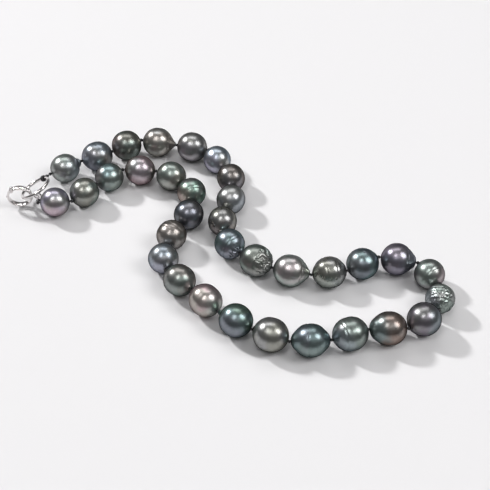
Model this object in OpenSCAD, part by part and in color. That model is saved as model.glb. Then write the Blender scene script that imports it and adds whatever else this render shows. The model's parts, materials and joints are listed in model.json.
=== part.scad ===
// Knotted pearl necklace: 34 baroque pearls on one silk cord, with a plain end ring hooked in a hinged hoop clip.
// Units are millimetres, +Z up. The strand lies on the plane z = 0, and every pearl rests on it.

/* [Pearls] */

// Overall size of every pearl against its entry in the stringing table
pearl_scale = 1.0; // [0.96:0.01:1.0]
// Drill hole through each pearl
drill_d = 1.0; // [0.8:0.1:1.1]
// Depth of the growth rings on circled pearls
groove_depth = 0.16; // [0.05:0.01:0.3]
// Width of each growth ring
groove_w = 0.5; // [0.3:0.1:0.8]

/* [Silk] */

// Doubled silk thread
silk_d = 0.7; // [0.5:0.05:0.75]
// Space between two pearls where the strand turns sharply, filled by a knot
knot_gap = 1.4; // [1.3:0.05:1.5]
// Knot size across
knot_d = 1.4; // [1.1:0.1:1.4]
// Height of the drill line above the table
drill_z = 5.4; // [5.2:0.1:5.6]

/* [End ring] */

// Outside diameter of the plain end ring
ring_od = 12.2; // [11.6:0.1:12.6]
// Wire of the plain end ring
ring_wire = 1.2; // [1.0:0.1:1.3]
// How far the plain ring is lifted above the drill line
ring_lift = 1.4; // [1.3:0.05:1.5]
// Lean of the plain ring, which rests against the last pearl
ring_lean = 33; // [32:1:34]
// Silk between the first knot and the plain ring
neck_len = 4.2; // [4.0:0.1:4.4]

/* [Clip] */

// Outside diameter of the hoop
hoop_od = 9.2; // [9.0:0.1:9.4]
// Radial thickness of the hoop
hoop_t = 0.8; // [0.7:0.05:0.9]
// Width of the hoop band
band_w = 2.0; // [1.6:0.1:2.2]
// Hinge pin of the lever
pin_d = 0.6; // [0.5:0.1:0.7]
// Height of the grooves' ribs on the lever
rib_h = 0.22; // [0.1:0.02:0.3]

/* [Jump rings] */

// Wire of both jump rings
link_wire = 0.5; // [0.4:0.05:0.5]
// Outside diameter of the upright jump ring
link_a_od = 2.4; // [2.3:0.1:2.5]
// Outside diameter of the level jump ring
link_b_od = 2.7; // [2.6:0.1:2.8]

/* [Hidden] */

$fn = 48;
eps = 0.01;

// Stringing table, from the end ring round to the clip. Each row is one pearl:
// [diameter, length along the drill, straight part of that length, compass direction of the drill in degrees,
//  tip radius at the start, tip radius at the end (0 = round), waist tips (1 = nub), growth ring positions]
PEARLS = [
    [10.5, 12.0, 0.4,   35,   0, 1.9, 1, []],
    [10.8, 11.8, 0.8,   27, 4.4,   0, 0, []],
    [11.2, 11.4, 0.2,   33,   0,   0, 0, []],
    [11.0, 12.8, 0.4,  -10,   0, 1.2, 0, []],
    [11.1, 11.5, 0.4,  -11,   0,   0, 0, []],
    [10.2, 10.6, 0.4,  -56, 4.2,   0, 0, []],
    [10.3, 10.7, 0.4,  -66,   0,   0, 0, []],
    [10.4, 10.8, 0.4, -111,   0,   0, 0, []],
    [10.3, 11.3, 0.4,  -97,   0, 0.9, 1, []],
    [10.6, 11.1, 0.3,  -52,   0, 4.6, 0, [2.2]],
    [11.1, 11.9, 0.7,  -28,   0, 3.2, 0, [1.6, 3]],
    [11.0, 12.7, 0.7,  -12,   0, 2.4, 0, [3.8]],
    [10.9, 11.9, 0.6,   10, 4.6, 4.6, 0, [-1.6, 2.2]],
    [11.0, 11.7, 0.3,   31,   0, 4.2, 0, [-3.2]],
    [11.2, 12.2,   0,  -10,   0, 3.4, 0, [3.2]],
    [10.5, 10.5,   0,  -55,   0,   0, 0, [2]],
    [10.1, 10.1,   0, -100,   0,   0, 0, [-2.6, -1.2, 0.4, 2, 3.2]],
    [11.3, 11.8, 0.2, -145,   0, 4.6, 0, []],
    [11.2, 12.4, 0.6, -177,   0, 4.6, 0, []],
    [11.2, 12.3, 0.8, -159,   0, 3.2, 0, [2.6]],
    [11.0, 12.9, 0.7, -176,   4,   4, 0, [0.9]],
    [11.3, 12.3, 0.7, -201,   0, 1.7, 1, []],
    [11.2, 12.6, 0.3, -212,   0,   1, 1, []],
    [10.8, 11.9, 0.8, -227,   0, 4.4, 0, []],
    [10.8, 11.5, 0.5, -219, 4.4,   0, 0, []],
    [10.6, 10.6,   0, -258,   0,   0, 0, []],
    [10.5, 10.9, 0.4, -303,   0,   0, 0, [-1, 0.8]],
    [10.6, 11.0, 0.4, -294,   0,   0, 0, []],
    [10.6, 10.6,   0, -249,   0,   0, 0, [-2.4]],
    [10.8, 11.2, 0.3, -204,   0, 4.4, 0, []],
    [10.9, 11.6, 0.3, -182, 1.5, 1.5, 1, []],
    [10.3, 11.0, 0.4, -139,   0, 1.6, 1, []],
    [10.5, 10.9, 0.4, -130,   0,   0, 0, []],
    [10.6, 10.6,   0, -175,   0,   0, 0, []]
];

// Space at each of the 35 knots, against a bent knot's: wider where the strand turns sharply
GAPS = [
    1.4, 0.6, 0.6, 1.4, 0.6, 1.4, 0.6, 1.4, 0.6, 0.8, 0.8, 0.6, 0.8, 0.8, 1.4, 1.4, 1.4, 1.4,
    1, 0.6, 0.6, 0.8, 0.6, 0.6, 0.6, 1.2, 1.4, 0.6, 1.4, 1.4, 0.8, 1.4, 0.6, 1.4, 1.4
];
N = len(PEARLS);

// Where the first knot stands, so that the whole necklace is centred on the origin
FIRST = [-64.45, 27.72];

// Compass directions of the parts beyond the two end pearls
RING_DIR = 246;
LINK_A_DIR = 98;
LINK_B_DIR = 122;
LINK_C_DIR = 149;
CLIP_DIR = 186;

function dia(i) = PEARLS[i][0] * pearl_scale;
function len_(i) = PEARLS[i][1];
function head(i) = PEARLS[i][3];
function dir(a) = [cos(a), sin(a)];
function gap(i) = GAPS[i] * knot_gap / 1.4;

// Knots 0 to 34: one before each pearl, and one after the last
KNOTS = [for (i = 0, p = FIRST; i <= N;
              p = i < N ? p + dir(head(i)) * (len_(i) + (gap(i) + gap(i + 1)) / 2) : p, i = i + 1) p];
CENTRES = [for (i = [0:N - 1]) KNOTS[i] + dir(head(i)) * (gap(i) + len_(i)) / 2];

// End ring
ring_r = (ring_od - ring_wire) / 2;
ring_z = drill_z + ring_lift;
ring_tie = KNOTS[0] + dir(RING_DIR) * neck_len;
ring_c = ring_tie + dir(RING_DIR) * ring_r;

// Jump rings, linked with a little play
play = 0.1;
silk_loop_r = (link_wire + silk_d * 0.7) / 2 + 0.08;
loop_silk = silk_d * 0.7;
link_reach = 1.1;
link_a_r = (link_a_od - link_wire) / 2;
link_b_r = (link_b_od - link_wire) / 2;
hook = link_wire + play;
tie_a = KNOTS[N] + dir(LINK_A_DIR) * link_reach;
pivot_ab = tie_a + dir(LINK_A_DIR) * 2 * link_a_r;
link_b_c = pivot_ab + dir(LINK_B_DIR) * (link_b_r - hook);
pivot_bc = link_b_c + dir(LINK_C_DIR) * (link_b_r - hook);

// Hoop clip: the tail eye stands in the plane of the hoop
eye_r = 0.75;
solder = 0.01;
hoop_r = hoop_od / 2;
hoop_in = hoop_r - hoop_t;
hoop_mid = hoop_r - hoop_t / 2;
hoop_c = pivot_bc + dir(CLIP_DIR) * (2 * eye_r + hoop_r - 0.1);

// Angles round the hoop: 0 is the side away from the tail, 90 is the top, 180 is the tail side
pin_a = 128;
nose_a = 32;
knuckle_d = 1.5;
cheek_w = 0.5;
fit = 0.06;

// ---------- pearls ----------

// Half outline from one ball to another: the straight flank along both, a hair proud of them
module flank(x1, r1, x2, r2) {
    c = (r1 - r2) / (x2 - x1);
    s = sqrt(1 - c * c);
    proud = 0.02;
    a = r1 + proud;
    b = r2 + proud;
    polygon([[0, x1], [a * s, x1 + a * c], [b * s, x2 + b * c], [0, x2]]);
}

module half_ball(x, r) {
    intersection() {
        translate([0, x]) circle(r = r);
        translate([0, x - r - 1]) square([r + 1, 2 * r + 2]);
    }
}

// Where the middle of the body lies: a blunt end keeps it, and a tip takes up the spare length
function body_mid(d, l, barrel, tip0, tip1) = ((tip0 > 0 ? 1 : 0) - (tip1 > 0 ? 1 : 0)) * (l - barrel - d) / 2;

// Body of one pearl about its own axis, which runs along X
module pearl_body(d, l, barrel, tip0, tip1, nub) {
    r = d / 2;
    mid = body_mid(d, l, barrel, tip0, tip1);
    a = mid - barrel / 2;
    b = mid + barrel / 2;
    rotate([0, 90, 0]) rotate_extrude() {
        half_ball(a, r);
        if (barrel > 0) {
            half_ball(b, r);
            flank(a, r, b, r);
        }
        if (tip1 > 0) {
            x1 = l / 2 - tip1;
            half_ball(x1, tip1);
            if (nub == 0 && x1 - b > r - tip1 + eps) flank(b, r, x1, tip1);
        }
        if (tip0 > 0) {
            x1 = l / 2 - tip0;
            mirror([0, 1]) {
                half_ball(x1, tip0);
                if (nub == 0 && x1 + a > r - tip0 + eps) flank(-a, r, x1, tip0);
            }
        }
    }
}

// A growth ring cut round the pearl
module growth_ring(d, barrel, mid, at) {
    past = max(0, abs(at - mid) - barrel / 2);
    r = sqrt(max(1, d * d / 4 - past * past));
    translate([at, 0, 0]) rotate([0, 90, 0]) rotate_extrude()
        translate([r + groove_w / 2 - groove_depth, 0]) circle(d = groove_w);
}

// Pearl i, counted from 0: it rests on the table, and its drill hole stays on the drill line
module pearl(i) {
    row = PEARLS[i];
    d = dia(i);
    translate([CENTRES[i].x, CENTRES[i].y, 0]) rotate([0, 0, head(i)]) difference() {
        translate([0, 0, d / 2]) difference() {
            pearl_body(d, len_(i), row[2], row[4], row[5], row[6]);
            for (at = row[7]) growth_ring(d, row[2], body_mid(d, len_(i), row[2], row[4], row[5]), at);
        }
        translate([-len_(i), 0, drill_z]) rotate([0, 90, 0]) cylinder(d = drill_d, h = 2 * len_(i));
    }
}

// ---------- silk ----------

// The cord is one tube swept along its whole route, [x, y, z, radius] at each step
SIDES = 8;
silk_r = silk_d / 2;
knot_r = knot_d / 2;
function lift(p, z) = [p.x, p.y, z];

// Knot i between the directions a and b: thin, full, full, thin
function knot_steps(i, a, b) = let (w = gap(i) / 1.4, r = knot_r * (0.8 + 0.2 * w)) [
    for (s = [[-0.6, a, silk_r + 0.03], [-0.25, a, r], [0.25, b, r], [0.6, b, silk_r + 0.03]])
        concat(lift(KNOTS[i] + dir(s[1]) * s[0] * w, drill_z), s[2])
];

// Neck and loop round the wire of the plain ring, from the free end to the first knot
tie_loop_r = ring_wire / 2 + 0.1 + silk_r;
neck_fall = atan2(ring_lift, neck_len);
tie_top = lift(ring_tie, ring_z);
ring_across = lift(dir(RING_DIR + 90) * cos(ring_lean), sin(ring_lean));
ring_up = lift(-dir(RING_DIR + 90) * sin(ring_lean), cos(ring_lean));
function round_wire(a, r) = tie_top + lift(dir(RING_DIR) * r * cos(a), 0) + ring_up * r * sin(a);
TIE_STEPS = concat(
    [for (a = [140 : -45 : -130]) concat(round_wire(neck_fall + a, tie_loop_r), silk_r * 0.9)],
    [for (s = [[1.35, 0.45], [1.6, 0.62], [1.95, 0.62], [2.25, silk_r]])
        concat(round_wire(180 + neck_fall, s[0]), s[1])]
);

// Loop round the wire of the upright jump ring, in the level plane
LINK_STEPS = [for (a = [215 : 45 : 500]) concat(lift(tie_a + dir(LINK_A_DIR + a) * silk_loop_r, drill_z), loop_silk / 2)];

ROUTE = concat(
    TIE_STEPS,
    knot_steps(0, RING_DIR - 180, head(0)),
    [for (i = [1:N - 1]) each knot_steps(i, head(i - 1), head(i))],
    knot_steps(N, head(N - 1), LINK_A_DIR),
    LINK_STEPS
);
M = len(ROUTE);
function at(i) = [ROUTE[i].x, ROUTE[i].y, ROUTE[i].z];
function unit(v) = v / norm(v);
function along(i) = unit(at(min(i + 1, M - 1)) - at(max(i - 1, 0)));
// the loop round the plain ring lies in one plane, so its side direction is fixed
function side(i) = i < len(TIE_STEPS) ? ring_across : unit(cross(along(i), [0, 0, 1]));
function ring_of(i) = let (b = side(i), c = unit(cross(b, along(i))), r = ROUTE[i][3])
    [for (j = [0:SIDES - 1]) at(i) + r * (cos(360 * j / SIDES) * b + sin(360 * j / SIDES) * c)];

module silk_cord() color([0.06, 0.06, 0.07]) polyhedron(
    points = [for (i = [0:M - 1]) each ring_of(i)],
    faces = concat(
        [[for (j = [0:SIDES - 1]) j]],
        [for (i = [0:M - 2], j = [0:SIDES - 1]) let (k = (j + 1) % SIDES)
            [i * SIDES + j, (i + 1) * SIDES + j, (i + 1) * SIDES + k, i * SIDES + k]],
        [[for (j = [SIDES - 1:-1:0]) (M - 1) * SIDES + j]]
    )
);

// ---------- clasp ----------

module wire_ring(r, wire) rotate_extrude() translate([r, 0]) circle(d = wire);

// In the clip's own frame +X runs from the tail across the hoop and Z is up
module at_clip() translate([hoop_c.x, hoop_c.y, drill_z]) rotate([0, 0, CLIP_DIR]) children();

module end_ring() color([0.85, 0.85, 0.87])
    translate([ring_c.x, ring_c.y, ring_z]) rotate([0, 0, RING_DIR]) rotate([ring_lean, 0, 0])
        wire_ring(ring_r, ring_wire);

module jump_ring_upright() color([0.82, 0.82, 0.84])
    translate([tie_a.x, tie_a.y, drill_z]) rotate([0, 0, LINK_A_DIR]) translate([link_a_r, 0, 0])
        rotate([90, 0, 0]) wire_ring(link_a_r, link_wire);

module jump_ring_level() color([0.82, 0.82, 0.84])
    translate([link_b_c.x, link_b_c.y, drill_z]) wire_ring(link_b_r, link_wire);

// The eye ends on the outside of the hoop
module tail_eye() color([0.83, 0.83, 0.86]) difference() {
    translate([pivot_bc.x, pivot_bc.y, drill_z]) rotate([0, 0, CLIP_DIR]) translate([eye_r, 0, 0])
        rotate([90, 0, 0]) wire_ring(eye_r, link_wire);
    at_clip() rotate([90, 0, 0]) cylinder(r = hoop_r + solder, h = 4, center = true);
}

// Band section with rounded edges, swept from angle a to angle b round the hoop
module band(a, b, w = band_w, t = hoop_t) {
    rotate([90, 0, 0]) rotate([0, 0, a]) rotate_extrude(angle = b - a) translate([hoop_mid, 0]) {
        square([t, w - t], center = true);
        for (s = [-1, 1]) translate([0, s * (w - t) / 2]) circle(d = t);
    }
}

// A point on the band's middle line, in the clip's frame
function on_hoop(a, r) = [r * cos(a), 0, r * sin(a)];

module knuckle(w, d) rotate([90, 0, 0]) cylinder(d = d, h = w, center = true);

module clip_hoop() color([0.8, 0.8, 0.83]) at_clip() difference() {
    union() {
        band(pin_a + 2, 360 + nose_a - 5);
        // two cheeks hold the hinge pin
        for (s = [-1, 1]) translate(on_hoop(pin_a, hoop_mid)) translate([0, s * (band_w - cheek_w) / 2, 0])
            knuckle(cheek_w, knuckle_d);
    }
    // slot for the lever's knuckle, and the pin's bore
    translate(on_hoop(pin_a, hoop_mid)) {
        knuckle(band_w - 2 * cheek_w, knuckle_d + 0.5);
        knuckle(band_w + 1, pin_d);
    }
}

// Narrow neck that runs from the lever's band into its knuckle
module lever_neck(a, b) rotate([90, 0, 0]) rotate([0, 0, a]) rotate_extrude(angle = b - a)
    translate([hoop_mid, 0]) square([hoop_t - 0.12, band_w - 2 * cheek_w - 0.24], center = true);

// The lever closes the top of the hoop, with raised ribs along its back
module clip_lever() color([0.88, 0.88, 0.9]) at_clip() difference() {
    union() {
        band(nose_a, pin_a - 13);
        translate(on_hoop(pin_a, hoop_mid)) knuckle(band_w - 2 * cheek_w - 2 * fit, knuckle_d);
        lever_neck(pin_a - 16, pin_a);
        for (i = [0:5]) translate(on_hoop(nose_a + 12 + i * 11, hoop_r - 0.08))
            knuckle(band_w * (0.55 + 0.07 * i), 2 * rib_h + 0.16);
        // thumb tab at the nose
        translate(on_hoop(nose_a + 4, hoop_r)) knuckle(band_w * 0.7, 0.7);
    }
    translate(on_hoop(pin_a, hoop_mid)) knuckle(band_w + 1, pin_d + 2 * fit);
}

module lever_pin() color([0.7, 0.7, 0.73]) at_clip()
    translate(on_hoop(pin_a, hoop_mid)) knuckle(band_w + 0.1, pin_d);

// ---------- the pearls by name, in strand order ----------

module pearl_01() color([0.46, 0.49, 0.48]) pearl(0);
module pearl_02() color([0.40, 0.45, 0.50]) pearl(1);
module pearl_03() color([0.24, 0.28, 0.26]) pearl(2);
module pearl_04() color([0.58, 0.56, 0.52]) pearl(3);
module pearl_05() color([0.42, 0.43, 0.43]) pearl(4);
module pearl_06() color([0.38, 0.42, 0.52]) pearl(5);
module pearl_07() color([0.27, 0.26, 0.25]) pearl(6);
module pearl_08() color([0.50, 0.51, 0.52]) pearl(7);
module pearl_09() color([0.33, 0.33, 0.27]) pearl(8);
module pearl_10() color([0.27, 0.36, 0.42]) pearl(9);
module pearl_11() color([0.46, 0.50, 0.46]) pearl(10);
module pearl_12() color([0.55, 0.57, 0.57]) pearl(11);
module pearl_13() color([0.38, 0.39, 0.34]) pearl(12);
module pearl_14() color([0.32, 0.38, 0.43]) pearl(13);
module pearl_15() color([0.30, 0.25, 0.32]) pearl(14);
module pearl_16() color([0.34, 0.40, 0.38]) pearl(15);
module pearl_17() color([0.58, 0.61, 0.60]) pearl(16);
module pearl_18() color([0.26, 0.27, 0.30]) pearl(17);
module pearl_19() color([0.30, 0.28, 0.26]) pearl(18);
module pearl_20() color([0.40, 0.46, 0.46]) pearl(19);
module pearl_21() color([0.24, 0.34, 0.36]) pearl(20);
module pearl_22() color([0.36, 0.37, 0.33]) pearl(21);
module pearl_23() color([0.24, 0.32, 0.33]) pearl(22);
module pearl_24() color([0.60, 0.54, 0.50]) pearl(23);
module pearl_25() color([0.28, 0.31, 0.31]) pearl(24);
module pearl_26() color([0.44, 0.50, 0.55]) pearl(25);
module pearl_27() color([0.36, 0.34, 0.32]) pearl(26);
module pearl_28() color([0.18, 0.22, 0.27]) pearl(27);
module pearl_29() color([0.32, 0.33, 0.33]) pearl(28);
module pearl_30() color([0.37, 0.38, 0.34]) pearl(29);
module pearl_31() color([0.58, 0.52, 0.50]) pearl(30);
module pearl_32() color([0.34, 0.42, 0.45]) pearl(31);
module pearl_33() color([0.32, 0.34, 0.31]) pearl(32);
module pearl_34() color([0.50, 0.49, 0.55]) pearl(33);

pearl_01();
pearl_02();
pearl_03();
pearl_04();
pearl_05();
pearl_06();
pearl_07();
pearl_08();
pearl_09();
pearl_10();
pearl_11();
pearl_12();
pearl_13();
pearl_14();
pearl_15();
pearl_16();
pearl_17();
pearl_18();
pearl_19();
pearl_20();
pearl_21();
pearl_22();
pearl_23();
pearl_24();
pearl_25();
pearl_26();
pearl_27();
pearl_28();
pearl_29();
pearl_30();
pearl_31();
pearl_32();
pearl_33();
pearl_34();
silk_cord();
end_ring();
jump_ring_upright();
jump_ring_level();
tail_eye();
clip_hoop();
clip_lever();
lever_pin();
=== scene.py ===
"""Looks for a knotted strand of dark baroque pearls with a hinged hoop clip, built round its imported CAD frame.

Meshes are written in the row frame. Sizes in this file are in millimetres until they reach a mesh, except those of
the floor and the lights, which are in metres.
"""
import json
import math

import bpy
import numpy as np
from mathutils import Matrix, Vector


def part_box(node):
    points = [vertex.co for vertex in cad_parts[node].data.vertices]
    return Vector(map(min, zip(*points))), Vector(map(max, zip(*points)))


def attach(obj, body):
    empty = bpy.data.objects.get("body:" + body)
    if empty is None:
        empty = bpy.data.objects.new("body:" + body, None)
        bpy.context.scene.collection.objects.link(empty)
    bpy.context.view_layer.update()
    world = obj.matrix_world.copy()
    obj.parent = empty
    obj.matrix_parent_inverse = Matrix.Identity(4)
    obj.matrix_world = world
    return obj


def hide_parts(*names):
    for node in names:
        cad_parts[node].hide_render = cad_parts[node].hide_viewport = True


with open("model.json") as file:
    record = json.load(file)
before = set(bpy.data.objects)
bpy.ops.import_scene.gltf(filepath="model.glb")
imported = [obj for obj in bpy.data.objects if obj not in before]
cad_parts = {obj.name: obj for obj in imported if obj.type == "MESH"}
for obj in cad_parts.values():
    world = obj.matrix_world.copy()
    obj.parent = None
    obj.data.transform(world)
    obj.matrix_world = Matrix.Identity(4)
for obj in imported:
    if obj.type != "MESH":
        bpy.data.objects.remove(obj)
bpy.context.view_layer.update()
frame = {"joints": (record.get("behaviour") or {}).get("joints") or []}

MM = 0.001
UP = np.array([0.0, 0.0, 1.0])
JOINTS = {j["name"]: j for j in frame["joints"]}
COUNT = 34

# ---------- sizes that the CAD part has too ----------

# Space at each of the 35 knots: wider where the strand turns sharply
GAPS = [1.4, 0.6, 0.6, 1.4, 0.6, 1.4, 0.6, 1.4, 0.6, 0.8, 0.8, 0.6, 0.8, 0.8, 1.4, 1.4, 1.4, 1.4,
        1.0, 0.6, 0.6, 0.8, 0.6, 0.6, 0.6, 1.2, 1.4, 0.6, 1.4, 1.4, 0.8, 1.4, 0.6, 1.4, 1.4]
# Straight part of each pearl's length, between its two rounded halves
BARRELS = [0.4, 0.8, 0.2, 0.4, 0.4, 0.4, 0.4, 0.4, 0.4, 0.3, 0.7, 0.7, 0.6, 0.3, 0, 0, 0,
           0.2, 0.6, 0.8, 0.7, 0.7, 0.3, 0.8, 0.5, 0, 0.4, 0.4, 0, 0.3, 0.3, 0.4, 0.4, 0]
WIDEST_GAP = max(GAPS)
DRILL_R = 0.5
SILK_R = 0.33
KNOT_R = 0.7
# Wire thickness of the plain ring and of the links, and the plain ring's radius to the middle of its wire
RING_WIRE = 1.2
RING_R = 5.5
LINK_WIRE = 0.5
# The clip's hoop is a flat band: outer and inner radius, and width
HOOP_OUTER = 4.6
HOOP_INNER = 3.8
BAND_W = 2.0
EYE_R = 0.75
# Angles round the hoop: 0 is the side away from the tail, 90 is the top
PIN_ANGLE = 128
NOSE_ANGLE = 32


# ---------- settings of the looks ----------

# Points round and along a pearl: more where it has wrinkles or many growth rings
FINE_GRID = (176, 120)
PLAIN_GRID = (112, 76)
# The pearls' skin stops about this far from the drill line, and the bore starts at a bevel
SKIN_RIM = 0.62
BEVEL_R = 0.52
# The share of its stated level that each pearl's colours have
NACRE_SHADE = 0.88


# ---------- where things are ----------

def joint_point(name):
    """Where a joint of the CAD part is, in millimetres."""
    return np.array(JOINTS[name]["pos_m"], float) / MM


def box_mm(node):
    """The low and high corner of a CAD node's box, in millimetres."""
    low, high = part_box(node)
    return np.array(low) / MM, np.array(high) / MM


def knot_points():
    """The 35 knots: one before each pearl and one after the last, whose pearl is round."""
    points = [joint_point(f"knot_{i:02d}_bend") for i in range(COUNT)]
    low, high = box_mm(f"pearl_{COUNT:02d}")
    last = low + high - points[-1]
    last[2] = points[-1][2]
    return points + [last]


KNOTS = knot_points()
DRILL_Z = KNOTS[0][2]


def unit(v):
    v = np.asarray(v, float)
    return v / np.linalg.norm(v)


def heading(i):
    """Direction of pearl i's drill hole, with i counted from 1."""
    return unit(KNOTS[i] - KNOTS[i - 1])


# ---------- smooth noise ----------

def value_noise(points, seed):
    """Smooth random numbers from -1 to 1 on a lattice of spacing 1."""
    table = np.random.default_rng(seed).uniform(-1, 1, 4096)
    cell = np.floor(points).astype(np.int64)
    f = points - cell
    f = f * f * f * (f * (f * 6 - 15) + 10)
    total = np.zeros(len(points))
    for corner in np.ndindex(2, 2, 2):
        c = cell + np.array(corner)
        at = (c[:, 0] * 73856093 ^ c[:, 1] * 19349663 ^ c[:, 2] * 83492791) & 4095
        weight = np.prod(np.where(np.array(corner) == 1, f, 1 - f), axis=1)
        total += weight * table[at]
    return total


def layered_noise(points, seed, layers):
    """Noise with finer and weaker layers on top."""
    return sum(value_noise(points * 2 ** k, seed + k) / 2 ** k for k in range(layers))


# ---------- meshes ----------

def make_object(name, points, faces, body, slot, material, replaces, **attributes):
    """A mesh from points in millimetres, riding on a CAD body and standing for CAD nodes."""
    mesh = bpy.data.meshes.new(name)
    mesh.from_pydata((np.asarray(points, float) * MM).tolist(), [], faces)
    mesh.polygons.foreach_set("use_smooth", [True] * len(mesh.polygons))
    for key, values in attributes.items():
        layer = mesh.attributes.new(key, "FLOAT_VECTOR", "POINT")
        layer.data.foreach_set("vector", np.asarray(values, np.float32).ravel())
    mesh.materials.append(material)
    mesh.validate()
    obj = bpy.data.objects.new(name, mesh)
    bpy.context.scene.collection.objects.link(obj)
    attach(obj, body)
    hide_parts(*replaces)


def grid_faces(rows, columns, closed_rows=False):
    """Quads between rings of points. With closed_rows the last ring joins the first."""
    faces = []
    for j in range(rows if closed_rows else rows - 1):
        a, b = j * columns, (j + 1) % rows * columns
        faces += [(a + i, a + (i + 1) % columns, b + (i + 1) % columns, b + i) for i in range(columns)]
    return faces


def join(*parts):
    """Several (points, faces, vectors) in one: vectors is one attribute's value for each point."""
    points, faces, vectors, start = [], [], [], 0
    for p, f, v in parts:
        points.append(np.asarray(p, float))
        vectors.append(np.asarray(v, float))
        faces += [tuple(i + start for i in face) for face in f]
        start += len(p)
    return np.concatenate(points), faces, np.concatenate(vectors)


def path_sides(path, closed):
    """Two side directions at each point of a path, carried along it without twist."""
    ahead = np.roll(path, -1, 0) - np.roll(path, 1, 0)
    if not closed:
        ahead[0], ahead[-1] = path[1] - path[0], path[-1] - path[-2]
    ahead /= np.linalg.norm(ahead, axis=1)[:, None]
    side = UP if abs(ahead[0][2]) < 0.8 else np.array([1.0, 0.0, 0.0])
    sides = []
    for a in ahead:
        side = unit(side - a * side.dot(a))
        sides.append(side)
    sides = np.array(sides)
    return sides, np.cross(ahead, sides)


def level_frame(along):
    """A level direction across a line, and the direction across both."""
    level = unit(np.cross(along, UP))
    return level, np.cross(along, level)


def thread(path, radius, sides=12, closed=False, ply=0.12, pitch=1.1, plies=2):
    """A twisted thread swept along a path. Its vectors are (distance along, angle round, radius).

    ply is how deep the grooves between the plies are, as a share of the radius, and pitch is one turn's length.
    """
    path = np.asarray(path, float)
    u, v = path_sides(path, closed)
    radius = np.broadcast_to(radius, len(path))
    steps = np.linalg.norm(np.diff(path, axis=0), axis=1)
    along = np.concatenate([[0], np.cumsum(steps)])
    points, vectors = [], []
    for p, a, b, r, s in zip(path, u, v, radius, along):
        turn = 2 * math.pi * s / pitch
        for k in range(sides):
            angle = 2 * math.pi * k / sides
            reach = r * (1 - ply * (0.5 - 0.5 * math.cos(plies * (angle - turn))))
            points.append(p + reach * (math.cos(angle) * a + math.sin(angle) * b))
            vectors.append((s, angle, r))
    faces = grid_faces(len(path), sides, closed_rows=closed)
    if not closed:
        faces.append(tuple(range(sides))[::-1])
        faces.append(tuple(range((len(path) - 1) * sides, len(path) * sides)))
    return np.array(points), faces, np.array(vectors)


def wire(path, radius, sides=20, closed=False):
    """A smooth round wire swept along a path."""
    return thread(path, radius, sides, closed, ply=0)


def ring_path(centre, radius, a, b, steps, start=0, end=360):
    """Points on a circle in the plane of directions a and b."""
    closed = end - start >= 360
    angles = np.radians(np.linspace(start, end, steps, endpoint=not closed))
    return [centre + radius * (math.cos(t) * a + math.sin(t) * b) for t in angles]


# ---------- materials ----------

def new_material(name):
    material = bpy.data.materials.new(name)
    material.use_nodes = True
    tree = material.node_tree
    return material, tree, tree.nodes["Principled BSDF"]


def add_node(tree, kind, inputs=None, **settings):
    """A node with its settings. An input that is a socket is linked, and any other is a value."""
    node = tree.nodes.new(kind)
    for key, value in settings.items():
        setattr(node, key, value)
    for key, value in (inputs or {}).items():
        if isinstance(value, bpy.types.NodeSocket):
            tree.links.new(value, node.inputs[key])
        else:
            node.inputs[key].default_value = value
    return node


def noise_value(tree, vector, scale, detail, distortion=0.0):
    inputs = {"Vector": vector, "Scale": scale, "Detail": detail, "Distortion": distortion}
    return add_node(tree, "ShaderNodeTexNoise", inputs).outputs["Fac"]


def remap(tree, value, low, high, to_low=0.0, to_high=1.0, smooth=True):
    inputs = {"Value": value, "From Min": low, "From Max": high, "To Min": to_low, "To Max": to_high}
    kind = "SMOOTHSTEP" if smooth else "LINEAR"
    return add_node(tree, "ShaderNodeMapRange", inputs, interpolation_type=kind).outputs["Result"]


def math_value(tree, operation, a, b):
    return add_node(tree, "ShaderNodeMath", {0: a, 1: b}, operation=operation).outputs[0]


def mix_colour(tree, factor, a, b, blend="MIX"):
    # sockets 6 and 7 are the Mix node's colour inputs, and output 2 is its colour
    inputs = {0: factor, 6: a, 7: b}
    return add_node(tree, "ShaderNodeMix", inputs, data_type="RGBA", blend_type=blend).outputs[2]


def add_bump(tree, height, distance_mm, strength, normal=None):
    inputs = {"Height": height, "Distance": distance_mm * MM, "Strength": strength}
    if normal is not None:
        inputs["Normal"] = normal
    return add_node(tree, "ShaderNodeBump", inputs).outputs["Normal"]


# Hues of dark pearls, each about as bright as plain grey
HUES = {
    "grey": (1.0, 1.0, 1.0),
    "silver": (0.99, 1.01, 1.0),
    "green": (0.90, 1.04, 0.97),
    "olive": (1.02, 1.02, 0.92),
    "teal": (0.80, 1.06, 1.08),
    "blue": (0.88, 1.0, 1.12),
    "lavender": (1.01, 0.96, 1.16),
    "aubergine": (1.04, 0.95, 1.09),
    "pink": (1.24, 0.94, 0.99),
    "champagne": (1.08, 1.0, 0.93),
    "brown": (1.08, 0.99, 0.93),
    "peacock": (0.80, 1.11, 0.96),
    "copper": (1.22, 0.97, 0.86),
}
# Where an accent lies, seen from the front
SIDES = {
    "left": (-0.9, -0.4, 0.1),
    "right": (0.9, -0.4, 0.2),
    "low": (0.0, -0.9, -0.2),
    "low_left": (-0.6, -0.8, 0.0),
    "low_right": (0.6, -0.8, 0.0),
    "top": (0.0, 0.1, 1.0),
    "middle": (0.1, -0.7, 0.7),
}


def local_side(name, direction):
    """One of the SIDES along a pearl's own axes, the first of which is its drill hole's direction."""
    side = unit(SIDES[name])
    return np.array([side @ direction, side @ np.cross(UP, direction), side[2]])


def tint(hue, level):
    return (*(min(1.0, c * level) for c in HUES[hue]), 1.0)


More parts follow.
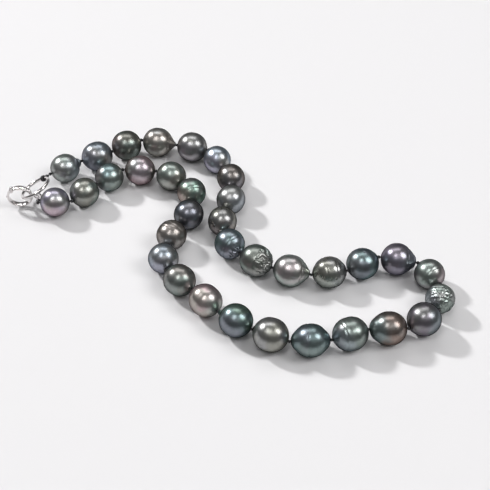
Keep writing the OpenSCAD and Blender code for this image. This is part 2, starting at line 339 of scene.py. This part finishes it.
def nacre(name, look, direction):
    """Dark nacre: a metallic body colour with overtone patches, growth bands and a soft orange-peel."""
    material, tree, shader = new_material(name)
    local = add_node(tree, "ShaderNodeAttribute", attribute_name="local_mm").outputs["Vector"]
    shift = (look["seed"] * 1.7, look["seed"] * 0.9, look["seed"] * 2.3)
    place = add_node(tree, "ShaderNodeVectorMath", {0: local, 1: shift}, operation="ADD").outputs[0]
    level = look["level"] * NACRE_SHADE
    patches = remap(tree, noise_value(tree, place, 0.13, 2.0, 0.6), 0.42, 0.6)
    colour = mix_colour(tree, patches, tint(look["body"], level), tint(look["over"], level * 1.06))
    # the accent fades out round its own side of the pearl
    side = tuple(float(c) for c in local_side(look["side"], direction))
    toward = add_node(tree, "ShaderNodeVectorMath", {0: local, 1: side}, operation="DOT_PRODUCT")
    wander = add_node(tree, "ShaderNodeMath", {0: noise_value(tree, place, 0.28, 2.0), 1: 4.0, 2: -2.0},
                      operation="MULTIPLY_ADD").outputs[0]
    reach = math_value(tree, "ADD", toward.outputs["Value"], wander)
    colour = mix_colour(tree, remap(tree, reach, 1.4, 5.2, 0.0, look["share"]), colour,
                        tint(look["accent"], level * 1.2))
    # growth bands run round the drill axis
    squeeze = add_node(tree, "ShaderNodeMapping", {"Vector": place, "Scale": (1.0, 0.16, 0.16)}).outputs[0]
    bands = noise_value(tree, squeeze, look["banding"], 3.0, 0.4)
    shade = remap(tree, bands, 0.3, 0.7, 0.88, 1.1, smooth=False)
    speck = remap(tree, noise_value(tree, place, 1.6, 3.0), 0.3, 0.7, 0.95, 1.05, smooth=False)
    factor = math_value(tree, "MULTIPLY", shade, speck)
    grey = add_node(tree, "ShaderNodeCombineColor", {0: factor, 1: factor, 2: factor}).outputs[0]
    colour = mix_colour(tree, 1.0, colour, grey, "MULTIPLY")
    tree.links.new(colour, shader.inputs["Base Color"])
    dull = noise_value(tree, place, 0.5, 2.0)
    tree.links.new(remap(tree, dull, 0.3, 0.7, look["gloss"], look["gloss"] + 0.07, False),
                   shader.inputs["Roughness"])
    peel = add_bump(tree, noise_value(tree, place, 0.9, 1.0), 0.05, 0.35)
    lines = add_bump(tree, bands, 0.06, 0.5, peel)
    fine = add_bump(tree, noise_value(tree, place, 5.0, 2.0), 0.004, 0.5, lines)
    tree.links.new(fine, shader.inputs["Normal"])
    shader.inputs["Metallic"].default_value = 0.96
    shader.inputs["Specular IOR Level"].default_value = 0.5
    # a nearly black edge tint gives the pearls their dark rims
    shader.inputs["Specular Tint"].default_value = (0.0, 0.0, 0.01, 1)
    shader.inputs["Coat Weight"].default_value = 0.1
    shader.inputs["Coat Roughness"].default_value = 0.14
    shader.inputs["Coat IOR"].default_value = 1.5
    return material


def black_silk():
    """Twisted silk thread: fine fibres that follow the twist, with a low sheen."""
    material, tree, shader = new_material("black_silk")
    lay = add_node(tree, "ShaderNodeAttribute", attribute_name="lay").outputs["Vector"]
    fibres = add_node(tree, "ShaderNodeMapping", {"Vector": lay, "Scale": (2.0, 9.0, 1.0)}).outputs[0]
    strands = noise_value(tree, fibres, 2.2, 4.0, 0.3)
    colour = mix_colour(tree, remap(tree, strands, 0.35, 0.65), (0.006, 0.006, 0.007, 1), (0.035, 0.034, 0.038, 1))
    tree.links.new(colour, shader.inputs["Base Color"])
    tree.links.new(remap(tree, strands, 0.3, 0.7, 0.5, 0.72, False), shader.inputs["Roughness"])
    tree.links.new(add_bump(tree, strands, 0.05, 0.9), shader.inputs["Normal"])
    shader.inputs["Sheen Weight"].default_value = 0.25
    shader.inputs["Sheen Roughness"].default_value = 0.4
    return material


def polished_metal(name, colour, roughness):
    """Polished white metal with hairline scratches and slightly duller patches."""
    material, tree, shader = new_material(name)
    place = add_node(tree, "ShaderNodeTexCoord").outputs["Object"]
    scratch_place = add_node(tree, "ShaderNodeMapping", {"Vector": place, "Scale": (1, 6, 3)}).outputs[0]
    scratches = noise_value(tree, scratch_place, 900.0, 5.0, 1.5)
    patches = noise_value(tree, place, 350.0, 3.0)
    dark = tuple(c * 0.9 for c in colour)
    tree.links.new(mix_colour(tree, remap(tree, patches, 0.35, 0.65), (*dark, 1), (*colour, 1)),
                   shader.inputs["Base Color"])
    tree.links.new(remap(tree, patches, 0.3, 0.7, roughness, roughness + 0.07, False), shader.inputs["Roughness"])
    tree.links.new(add_bump(tree, scratches, 0.003, 0.4), shader.inputs["Normal"])
    shader.inputs["Metallic"].default_value = 1.0
    return material


# ---------- the pearls ----------

def look(level, body, over, accent="grey", side="top", share=0.5, tips=(0, 0), nub=False, gloss=0.28,
         banding=0.5, lump=0.10, rings=(), pits=(), wrinkle=None):
    """One pearl. tips are the radii of its ends' tips (0 = round), and nub makes them waisted.

    rings are [place along the drill, depth], pits are [side, radius, depth], and wrinkle is
    [side, depth, spread in degrees].
    """
    return dict(level=level, body=body, over=over, accent=accent, side=side, share=share, tips=tips, nub=nub,
                gloss=gloss, banding=banding, lump=lump, rings=rings, pits=pits, wrinkle=wrinkle)


LOOKS = [
    look(0.42, "silver", "green", "blue", "right", 0.5, tips=(0, 1.9), nub=True),
    look(0.34, "blue", "grey", "lavender", "low_left", tips=(4.4, 0), pits=[("top", 0.35, 0.1)]),
    look(0.24, "olive", "green", "pink", "left", pits=[("right", 0.3, 0.1)]),
    look(0.36, "champagne", "silver", "olive", "low", tips=(0, 1.2), rings=[(4.0, 0.08)]),
    look(0.33, "grey", "olive", "aubergine", "low_left", pits=[("right", 0.3, 0.12)]),
    look(0.42, "blue", "silver", "lavender", "low_left", 0.8, tips=(4.2, 0)),
    look(0.22, "brown", "grey", "aubergine", "low"),
    look(0.38, "silver", "grey", "blue", "low_right"),
    look(0.29, "olive", "grey", "pink", "low", 0.35, gloss=0.26, tips=(0, 0.9), nub=True),
    look(0.27, "teal", "blue", "lavender", "low", 0.5, tips=(0, 4.6), wrinkle=("low_right", 0.8, 48),
         rings=[(2.2, 0.1)]),
    look(0.28, "green", "silver", "olive", "middle", tips=(0, 3.2), wrinkle=("right", 0.8, 80),
         rings=[(1.6, 0.06)]),
    look(0.42, "silver", "green", "pink", "middle", 0.35, tips=(0, 2.4), rings=[(3.8, 0.16), (4.3, 0.08)]),
    look(0.34, "olive", "grey", "green", "low", tips=(4.6, 4.6), lump=0.22, gloss=0.25,
         rings=[(-1.6, 0.08), (2.2, 0.08)]),
    look(0.26, "blue", "teal", "grey", "left", tips=(0, 4.2), pits=[("top", 0.3, 0.12), ("low_left", 0.35, 0.14)]),
    look(0.28, "aubergine", "lavender", "blue", "right", 0.6, tips=(0, 3.4), rings=[(3.2, 0.1)]),
    look(0.34, "green", "grey", "pink", "right", 0.35, rings=[(2.0, 0.05)]),
    look(0.36, "silver", "green", "blue", "left", 0.4, lump=0.16, wrinkle=("middle", 0.2, 85),
         rings=[(-2.6, 0.12), (-1.2, 0.14), (0.4, 0.14), (2.0, 0.14), (3.2, 0.1)], banding=1.4),
    look(0.26, "grey", "aubergine", "teal", "right", 0.5, tips=(0, 4.6), pits=[("low_left", 0.5, 0.1)]),
    look(0.25, "brown", "copper", "teal", "left", 0.8, tips=(0, 4.6)),
    look(0.32, "green", "silver", "blue", "low_left", 0.6, tips=(0, 3.2), rings=[(2.6, 0.1)], lump=0.14),
    look(0.26, "teal", "blue", "green", "low", 0.5, tips=(4.0, 4.0), rings=[(0.9, 0.12)]),
    look(0.34, "olive", "grey", "silver", "left", tips=(0, 1.7), nub=True, pits=[("low_left", 0.45, 0.16)]),
    look(0.24, "teal", "peacock", "lavender", "low_left", 0.6, tips=(0, 1.0), nub=True),
    look(0.44, "champagne", "pink", "green", "right", 0.5, tips=(0, 4.4)),
    look(0.28, "green", "brown", "grey", "left", tips=(4.4, 0)),
    look(0.36, "blue", "silver", "lavender", "low"),
    look(0.28, "brown", "champagne", "grey", "low", rings=[(-1.0, 0.06), (0.8, 0.06)], banding=1.0),
    look(0.19, "blue", "grey", "lavender", "middle", 0.4),
    look(0.30, "peacock", "grey", "copper", "low_left", 0.7, rings=[(-2.4, 0.08)]),
    look(0.33, "olive", "green", "champagne", "low", tips=(0, 4.4)),
    look(0.38, "champagne", "pink", "blue", "middle", 0.4, tips=(1.5, 1.5), nub=True),
    look(0.31, "teal", "green", "pink", "left", 0.5, tips=(0, 1.6), nub=True),
    look(0.31, "olive", "green", "grey", "left"),
    look(0.42, "lavender", "silver", "pink", "low", 0.6),
]
for seed, row in enumerate(LOOKS, start=1):
    row["seed"] = seed


def round_cone(x, rho, xa, ra, xb, rb):
    """Distance from the hull of two balls on the axis."""
    # the limit keeps a cone where one ball would lie inside the other
    b = min((ra - rb) / (xb - xa), 0.999)
    a = math.sqrt(1 - b * b)
    k = -b * rho + a * (x - xa)
    flank = a * rho + b * (x - xa) - ra
    return np.where(k < 0, np.hypot(x - xa, rho) - ra,
                    np.where(k > a * (xb - xa), np.hypot(x - xb, rho) - rb, flank))


def smooth_min(a, b, k):
    """The smaller of two distances, with the corner between them rounded over a width k."""
    h = np.clip(0.5 + 0.5 * (b - a) / k, 0, 1)
    return b * (1 - h) + a * h - k * h * (1 - h)


def body_distance(x, rho, d, l, barrel, tips, nub):
    """Distance from the pearl's turned body, as the CAD part has it, with softer waists."""
    r, half = d / 2, barrel / 2
    middle = (l - barrel - d) / 2 * ((tips[0] > 0) - (tips[1] > 0))
    total = np.hypot(x - np.clip(x, middle - half, middle + half), rho) - r
    for sign, tip in ((-1, tips[0]), (1, tips[1])):
        if tip:
            at = l / 2 - tip
            along, start = sign * x, sign * middle + half
            if nub:
                total = smooth_min(total, np.hypot(along - at, rho) - tip, 0.3)
            elif tip < 2.5:
                total = smooth_min(total, round_cone(along, rho, start + min(1.5, (at - start) / 2), r * 0.72,
                                                     at, tip), 0.9)
            else:
                total = np.minimum(total, round_cone(along, rho, start, r, at, tip))
    return total


def body_radius(n, d, l, barrel, tips, nub):
    """How far the turned body reaches in each direction n from its centre, found by stepping in from outside."""
    t = np.full(len(n), l / 2 + 0.6)
    rho = np.hypot(n[:, 1], n[:, 2])
    for _ in range(40):
        t = t - body_distance(t * n[:, 0], t * rho, d, l, barrel, tips, nub)
    return t


def baroque_relief(n, radius, row, direction):
    """What the surface loses to lumps, growth rings, pits and wrinkles, in millimetres."""
    seed = row["seed"] * 10
    loss = row["lump"] * (0.5 + 0.5 * value_noise(n * 1.4 + 7.3 * row["seed"], seed))
    round_axis = np.arctan2(n[:, 2], n[:, 1])
    x = radius * n[:, 0] + 0.10 * np.sin(2 * round_axis + seed) + 0.05 * value_noise(n * 5, seed + 1)
    for at, depth in row["rings"]:
        away = x - at
        loss = loss + depth * np.exp(-(away / 0.26) ** 2) - 0.3 * depth * np.exp(-((away - 0.55) / 0.3) ** 2)
    for name, size, depth in row["pits"]:
        angle = np.arccos(np.clip(n @ local_side(name, direction), -1, 1))
        away = angle * radius / size
        loss = loss + depth * np.exp(-away ** 2) - 0.25 * depth * np.exp(-((away - 1.8) / 0.6) ** 2)
    if row["wrinkle"]:
        name, depth, spread = row["wrinkle"]
        angle = np.degrees(np.arccos(np.clip(n @ local_side(name, direction), -1, 1)))
        mask = np.clip((spread - angle) / (0.5 * spread), 0, 1)
        mask = mask * mask * (3 - 2 * mask)
        shift = np.stack([value_noise(n * 3, seed + k) for k in (2, 3, 4)], axis=1)
        bent = n * np.array([1.5, 3.1, 3.1]) + 0.5 * shift
        folds = 1 - np.abs(layered_noise(bent, seed + 5, 2))
        loss = loss + depth * mask * np.clip(folds, 0, 1) ** 3
    return loss


def pearl_mesh(i, row):
    """Points, faces and local places of pearl i: a closed skin, with its drill hole right through."""
    direction = heading(i)
    l = np.linalg.norm(KNOTS[i] - KNOTS[i - 1]) - (GAPS[i - 1] + GAPS[i]) / 2
    centre = KNOTS[i - 1] + direction * (GAPS[i - 1] + l) / 2
    d = round(box_mm(f"pearl_{i:02d}")[1][2], 1)
    around, rows = FINE_GRID if row["wrinkle"] or len(row["rings"]) > 2 else PLAIN_GRID
    # the drill hole is at one height in all pearls, so a little off the middle of each
    offset = DRILL_Z - d / 2
    rim = SKIN_RIM / (d / 2)
    theta = np.linspace(rim, math.pi - rim, rows)
    phi = np.linspace(0, 2 * math.pi, around, endpoint=False)
    t, p = np.meshgrid(theta, phi, indexing="ij")
    n = np.stack([np.cos(t) * l / 2, np.sin(t) * np.cos(p) * d / 2,
                  np.sin(t) * np.sin(p) * d / 2 + offset * np.cos(t) ** 4], axis=-1).reshape(-1, 3)
    n /= np.linalg.norm(n, axis=1)[:, None]
    radius = body_radius(n, d, l, BARRELS[i - 1], row["tips"], row["nub"])
    near_hole = np.clip((np.hypot(n[:, 1], n[:, 2]) - 0.12) / 0.2, 0, 1)
    skin = n * (radius - baroque_relief(n, radius, row, direction) * near_hole)[:, None]
    # the relief is stretched back to the full height, so that the pearl still rests on the floor
    z = skin[:, 2]
    skin[:, 2] = -d / 2 + (z - z.min()) * d / (z.max() - z.min())
    # the drill hole: a small bevel, then a straight bore
    first, last = skin[:around, 0].mean(), skin[-around:, 0].mean()
    bore = []
    for x, r in ((last + 0.03, BEVEL_R), (last + 0.14, DRILL_R), (first - 0.14, DRILL_R), (first - 0.03, BEVEL_R)):
        bore.append(np.stack([np.full(around, x), r * np.cos(phi), offset + r * np.sin(phi)], axis=1))
    local = np.concatenate([skin] + bore)
    axes = np.array([direction, np.cross(UP, direction), UP])
    place = np.array([centre[0], centre[1], d / 2])
    return local @ axes + place, grid_faces(rows + 4, around, closed_rows=True), local


def build_pearls():
    """Each pearl is one closed mesh, with a nacre of its own."""
    for i, row in enumerate(LOOKS, start=1):
        name = f"pearl_{i:02d}"
        points, faces, local = pearl_mesh(i, row)
        material = nacre(f"nacre_{i:02d}", row, heading(i))
        make_object(f"{name}_nacre", points, faces, name, f"nacre_{i:02d}", material, [name], local_mm=local)


# ---------- the silk ----------

def knot_thread(centre, along, gap=WIDEST_GAP):
    """A pulled-tight overhand knot: a trefoil wound round the cord's own line."""
    size = KNOT_R * (0.8 + 0.2 * gap / WIDEST_GAP)
    along = unit(along)
    a, b = level_frame(along)
    strand = 0.27 * size / KNOT_R
    reach = (size - strand) / 3
    t = np.linspace(0, 2 * math.pi, 72, endpoint=False)
    wide = np.outer(np.sin(t) + 2 * np.sin(2 * t), a) + np.outer(np.cos(t) - 2 * np.cos(2 * t), b)
    path = centre + reach * wide - 0.19 * gap * np.outer(np.sin(3 * t), along)
    return thread(path, strand, 12, closed=True, pitch=0.9)


def run_thread(start, end):
    """The silk inside one pearl, from knot to knot."""
    steps = max(8, int(np.linalg.norm(end - start) / 0.35))
    path = [start + (end - start) * k / steps for k in range(steps + 1)]
    return thread(path, SILK_R, 12)


def add_silk(name, body, material, *parts):
    points, faces, lay = join(*parts)
    make_object(name, points, faces, body, "black_silk", material, ["silk_cord"], lay=lay)


def coil(centre, along, radius, start, turns, pitch, strand):
    """Whipping turns of thread round a line."""
    along = unit(along)
    a, b = level_frame(along)
    per_turn = 18
    path = []
    for k in range(int(turns * per_turn) + 1):
        t = 2 * math.pi * k / per_turn
        at = start + pitch * k / per_turn
        path.append(centre + along * at + radius * (math.cos(t) * a + math.sin(t) * b))
    return thread(path, strand, 8, pitch=0.6)


def build_silk(material):
    """Each pearl carries the silk inside it and the knot after it."""
    for i in range(1, COUNT + 1):
        here, after = KNOTS[i - 1], KNOTS[i]
        onward = heading(i + 1) if i < COUNT else unit(joint_point("silk_loop_bend") - after)
        parts = [run_thread(here, after), knot_thread(after, heading(i) + onward, GAPS[i])]
        if i == COUNT:
            parts += link_loop(after)
        add_silk(f"silk_{i:02d}", f"pearl_{i:02d}", material, *parts)
    add_silk("silk_ring_tie", "end_ring", material, *ring_tie())


def link_loop(knot):
    """Silk from the last knot round the wire of the upright jump ring."""
    tie = joint_point("silk_loop_bend")
    out = unit(tie - knot)
    side = np.cross(UP, out)
    strand = 0.2
    radius = LINK_WIRE / 2 + strand + 0.06
    loop = ring_path(tie, radius, out, side, 22, -150, 150)
    neck = knot + out * 0.2
    path = [neck + side * -0.12] + loop + [neck + side * 0.12]
    return [thread(path, strand, 10, pitch=0.7)]


def ring_frame():
    """Centre of the plain ring, its direction away from the silk, and its leaning sideways direction."""
    low, high = box_mm("end_ring")
    centre = (low + high) / 2
    out = unit([centre[0] - KNOTS[0][0], centre[1] - KNOTS[0][1], 0])
    rise = (high[2] - low[2] - RING_WIRE) / (2 * RING_R)
    return centre, out, math.sqrt(1 - rise * rise) * np.cross(UP, out) + rise * UP


def ring_tie():
    """Silk from the first knot up to the plain ring, whipped, and looped twice round its wire."""
    knot = KNOTS[0]
    centre, out, tangent = ring_frame()
    # where the tie meets the ring's wire
    top = centre - out * RING_R
    neck = top - knot
    toward = unit(neck)
    across_wire = unit(toward - tangent * toward.dot(tangent))
    strand = 0.26
    radius = RING_WIRE / 2 + strand + 0.05
    parts = [knot_thread(knot, heading(1) - toward)]
    up = unit(np.cross(tangent, across_wire))
    for shift in (-0.3, 0.3):
        loop = ring_path(top + tangent * shift, radius, -across_wire, up, 30, 20, 340)
        start = knot + toward * 0.45
        parts.append(thread([start] + loop + [start + toward * 0.1], strand, 10, pitch=0.8))
    parts.append(coil(knot, neck, 0.5, np.linalg.norm(neck) - 2.7, 4.5, 0.36, 0.17))
    return parts


# ---------- the clasp ----------

def clip_frame():
    """Centre of the hoop, its direction away from the tail, and its sideways direction."""
    low, high = box_mm("clip_hoop")
    centre = (low + high) / 2
    centre[2] = low[2] + HOOP_OUTER
    axis = np.array(JOINTS["lever_open"]["axis"], float)
    return centre, np.cross(axis, UP), -axis


HOOP_C, AWAY, SIDEWAYS = clip_frame()


def hoop_point(angle, radius, side=0.0):
    t = math.radians(angle)
    return HOOP_C + radius * (math.cos(t) * AWAY + math.sin(t) * UP) + side * SIDEWAYS


PIN = hoop_point(PIN_ANGLE, (HOOP_INNER + HOOP_OUTER) / 2)


def band_ring(angle, width, inner, outer, crown=0.12):
    """One section of the band: a rounded bar with a crowned outer face."""
    corners, squareness = 24, 0.55
    mid, half = (inner + outer) / 2, (outer - inner) / 2
    ring = []
    for k in range(corners):
        t = 2 * math.pi * k / corners
        c, s = math.cos(t), math.sin(t)
        side = width / 2 * math.copysign(abs(c) ** squareness, c)
        radial = mid + half * math.copysign(abs(s) ** squareness, s)
        if s > 0:
            radial -= crown * (side / (width / 2)) ** 2 * s
        ring.append(hoop_point(angle, radial, side))
    return ring


def loft(rings):
    """A closed skin over a row of rings, capped at both ends."""
    columns = len(rings[0])
    points = np.concatenate([np.asarray(r, float) for r in rings])
    faces = grid_faces(len(rings), columns)
    faces.append(tuple(range(columns))[::-1])
    faces.append(tuple(range((len(rings) - 1) * columns, len(rings) * columns)))
    return points, faces, np.zeros_like(points)


def turned(centre, axis, outline, sides=36):
    """A solid of revolution from [distance along the axis, radius] points that start and end on it."""
    axis = unit(axis)
    a = unit(np.cross(axis, UP) if abs(axis[2]) < 0.9 else np.cross(axis, AWAY))
    b = np.cross(axis, a)
    rings = []
    for at, r in outline:
        rings.append([centre + axis * at + r * (math.cos(t) * a + math.sin(t) * b)
                      for t in np.linspace(0, 2 * math.pi, sides, endpoint=False)])
    return loft(rings)


def pill(centre, axis, length, diameter, bevel=0.08):
    """A short cylinder with rounded rims."""
    r, h = diameter / 2, length / 2
    rim = [(1 - math.cos(t), math.sin(t)) for t in np.radians([0, 22, 45, 68, 90])]
    start = [(-h + bevel * a, r - bevel + bevel * b) for a, b in rim]
    outline = [(-h, 0.02)] + start + [(-at, rr) for at, rr in reversed(start)] + [(h, 0.02)]
    return turned(centre, axis, outline)


def add_metal(name, body, material, nodes, *parts):
    points, faces, _ = join(*parts)
    make_object(name, points, faces, body, "white_metal", material, nodes)


def jump_ring(centre, radius, a, b, gap_at):
    """A jump ring of round wire, sawn through and closed up to a hairline."""
    path = ring_path(centre, radius, a, b, 97, gap_at + 1.2, gap_at + 358.8)
    return wire(path, LINK_WIRE / 2, 20)


def build_hoop(material):
    """The band from the hinge round to the nose, with bevelled ends and a cheek on each side of the hinge."""
    def bevelled(angle):
        return band_ring(angle, BAND_W * 0.94, HOOP_INNER + 0.1, HOOP_OUTER - 0.1)

    rings = [bevelled(PIN_ANGLE + 7)]
    for a in np.linspace(PIN_ANGLE + 7.6, 360 + NOSE_ANGLE - 6, 96):
        rings.append(band_ring(a, BAND_W, HOOP_INNER, HOOP_OUTER))
    rings.append(bevelled(360 + NOSE_ANGLE - 5.4))
    cheeks = [pill(PIN + s * SIDEWAYS * (BAND_W - 0.5) / 2, SIDEWAYS, 0.5, 1.5) for s in (-1, 1)]
    add_metal("clip_hoop_band", "clip", material, ["clip_hoop"], loft(rings), *cheeks)


def build_tail_eye(material):
    """A small closed ring on a soldered collar."""
    centre = joint_point("tail_eye_swivel") + AWAY * EYE_R
    eye = wire(ring_path(centre, EYE_R, AWAY, UP, 48), LINK_WIRE / 2, 20, closed=True)
    collar = turned(hoop_point(180, HOOP_OUTER - 0.15), -AWAY,
                    [(0, 0.02), (0, 0.52), (0.15, 0.5), (0.3, 0.36), (0.42, 0.2), (0.44, 0.02)])
    add_metal("tail_eye_ring", "clip", material, ["tail_eye"], eye, collar)


def build_lever(material):
    """The lever: ribbed along its back, narrower at the hinge, with a lip at the nose."""
    rings = []
    start, end = NOSE_ANGLE, PIN_ANGLE - 13
    for a in np.linspace(start, end, 150):
        t = (a - start) / (end - start)
        fade = math.sin(math.pi * min(1.0, max(0.0, (a - start - 7) / (end - start - 14))))
        rib = 0.5 - 0.5 * math.cos(2 * math.pi * (a - start - 7) / 11)
        lip = 0.34 * math.exp(-((a - start - 4) / 3.2) ** 2)
        width = BAND_W * (0.80 + 0.2 * math.sin(math.pi * (0.15 + 0.7 * t)))
        edge = min(1.0, 0.86 + 0.14 * min(t, 1 - t) / 0.02)
        back = HOOP_OUTER + 0.26 * rib * max(fade, 0) ** 0.4 + lip
        rings.append(band_ring(a, width * edge, HOOP_INNER, back, 0.2))
    neck = [band_ring(a, 0.8, HOOP_INNER + 0.06, HOOP_OUTER - 0.06, 0.04)
            for a in np.linspace(PIN_ANGLE - 15, PIN_ANGLE - 2, 14)]
    add_metal("clip_lever_ribbed", "clip_lever", material, ["clip_lever"],
              loft(rings), loft(neck), pill(PIN, SIDEWAYS, 0.86, 1.46))


def build_pin(material):
    """The hinge pin, with a low rivet head at each end."""
    h = BAND_W / 2
    outline = [(-h - 0.07, 0.02), (-h - 0.06, 0.2), (-h - 0.02, 0.3), (-h + 0.02, 0.3),
               (h - 0.02, 0.3), (h + 0.02, 0.3), (h + 0.06, 0.2), (h + 0.07, 0.02)]
    add_metal("lever_pin_riveted", "clip", material, ["lever_pin"], turned(PIN, SIDEWAYS, outline))


def build_clasp():
    """The plain ring, the two jump rings and the hinged clip."""
    bright = polished_metal("white_metal_bright", (0.72, 0.69, 0.685), 0.1)
    soft = polished_metal("white_metal_soft", (0.66, 0.63, 0.625), 0.14)
    centre, out, across = ring_frame()
    plain = wire(ring_path(centre, RING_R, out, across, 144), RING_WIRE / 2, 28, closed=True)
    add_metal("end_ring_plain", "end_ring", bright, ["end_ring"], plain)
    tie, swivel = joint_point("silk_loop_bend"), joint_point("jump_rings_swivel")
    out = unit(swivel - tie)
    add_metal("jump_ring_upright_wire", "jump_ring_upright", soft, ["jump_ring_upright"],
              jump_ring((tie + swivel) / 2, np.linalg.norm(swivel - tie) / 2, out, UP, 60))
    low, high = box_mm("jump_ring_level")
    add_metal("jump_ring_level_wire", "jump_ring_level", soft, ["jump_ring_level"],
              jump_ring((low + high) / 2, (high[0] - low[0] - LINK_WIRE) / 2,
                        np.array([1.0, 0, 0]), np.array([0, 1.0, 0]), 20))
    build_hoop(bright)
    build_tail_eye(soft)
    build_lever(bright)
    build_pin(soft)


# ---------- floor, light and camera ----------

def build_floor():
    material, tree, shader = new_material("pale_floor")
    shader.inputs["Base Color"].default_value = (0.665, 0.657, 0.665, 1)
    shader.inputs["Roughness"].default_value = 0.75
    shader.inputs["Specular IOR Level"].default_value = 0.2
    mesh = bpy.data.meshes.new("floor")
    half = 4.0
    mesh.from_pydata([(-half, -half, 0), (half, -half, 0), (half, half, 0), (-half, half, 0)], [], [(0, 1, 2, 3)])
    mesh.materials.append(material)
    floor = bpy.data.objects.new("floor", mesh)
    bpy.context.scene.collection.objects.link(floor)


# name, direction it stands in, distance, width and height in metres, and strength
SOFTBOXES = [
    ("key", (-0.67, 0.43, 0.605), 2.0, 0.17, 0.17, 285.0),
    ("panel_back", (0.0, 0.55, 0.83), 1.2, 0.9, 0.4, 2.1),
    ("panel_front", (0.06, -0.5, 0.86), 1.2, 1.0, 0.4, 0.6),
    ("panel_left", (-0.20, -0.28, 0.94), 1.2, 0.28, 0.5, 4.8),
    ("panel_right", (0.62, -0.12, 0.77), 1.2, 0.44, 0.6, 5.8),
]


def add_softbox(name, direction, distance, width, height, strength):
    """A rectangular area light that faces the necklace. Its power is in proportion to its area."""
    light = bpy.data.lights.new(name, "AREA")
    light.shape = "RECTANGLE"
    light.size = width
    light.size_y = height
    light.energy = 4 * strength * width * height
    obj = bpy.data.objects.new(name, light)
    away = Vector(direction).normalized()
    obj.location = away * distance
    obj.rotation_euler = away.to_track_quat("Z", "Y").to_euler()
    bpy.context.scene.collection.objects.link(obj)


def build_lights():
    """The softboxes, and a faint glow from the sky that is brighter overhead."""
    for softbox in SOFTBOXES:
        add_softbox(*softbox)
    world = bpy.data.worlds.new("studio")
    world.use_nodes = True
    bpy.context.scene.world = world
    tree = world.node_tree
    sky = add_node(tree, "ShaderNodeTexCoord").outputs["Generated"]
    height = add_node(tree, "ShaderNodeSeparateXYZ", {0: sky}).outputs["Z"]
    glow = remap(tree, height, 0.05, 0.95, 0.08, 0.2)
    tree.links.new(glow, tree.nodes["Background"].inputs["Strength"])
    tree.nodes["Background"].inputs["Color"].default_value = (1.0, 1.0, 1.01, 1)


def build_camera():
    """A 75 mm lens that looks down along +Y, with a slight roll."""
    camera = bpy.data.cameras.new("camera")
    camera.lens = 75.43
    camera.sensor_width = 36.0
    camera.clip_start = 0.01
    obj = bpy.data.objects.new("camera", camera)
    down, roll = math.radians(47.63), math.radians(1.245)
    level_up = Vector((0, math.sin(down), math.cos(down)))
    across = Vector((1, 0, 0))
    right = math.cos(roll) * across + math.sin(roll) * level_up
    up = math.cos(roll) * level_up - math.sin(roll) * across
    back = right.cross(up)
    turn = Matrix((right, up, back)).transposed().to_4x4()
    obj.matrix_world = Matrix.Translation(Vector((8.02, -245.75, 268.7)) * MM) @ turn
    bpy.context.scene.collection.objects.link(obj)
    bpy.context.scene.camera = obj


bpy.context.scene.view_settings.view_transform = "Standard"
build_camera()
build_lights()
build_floor()
build_pearls()
build_silk(black_silk())
build_clasp()
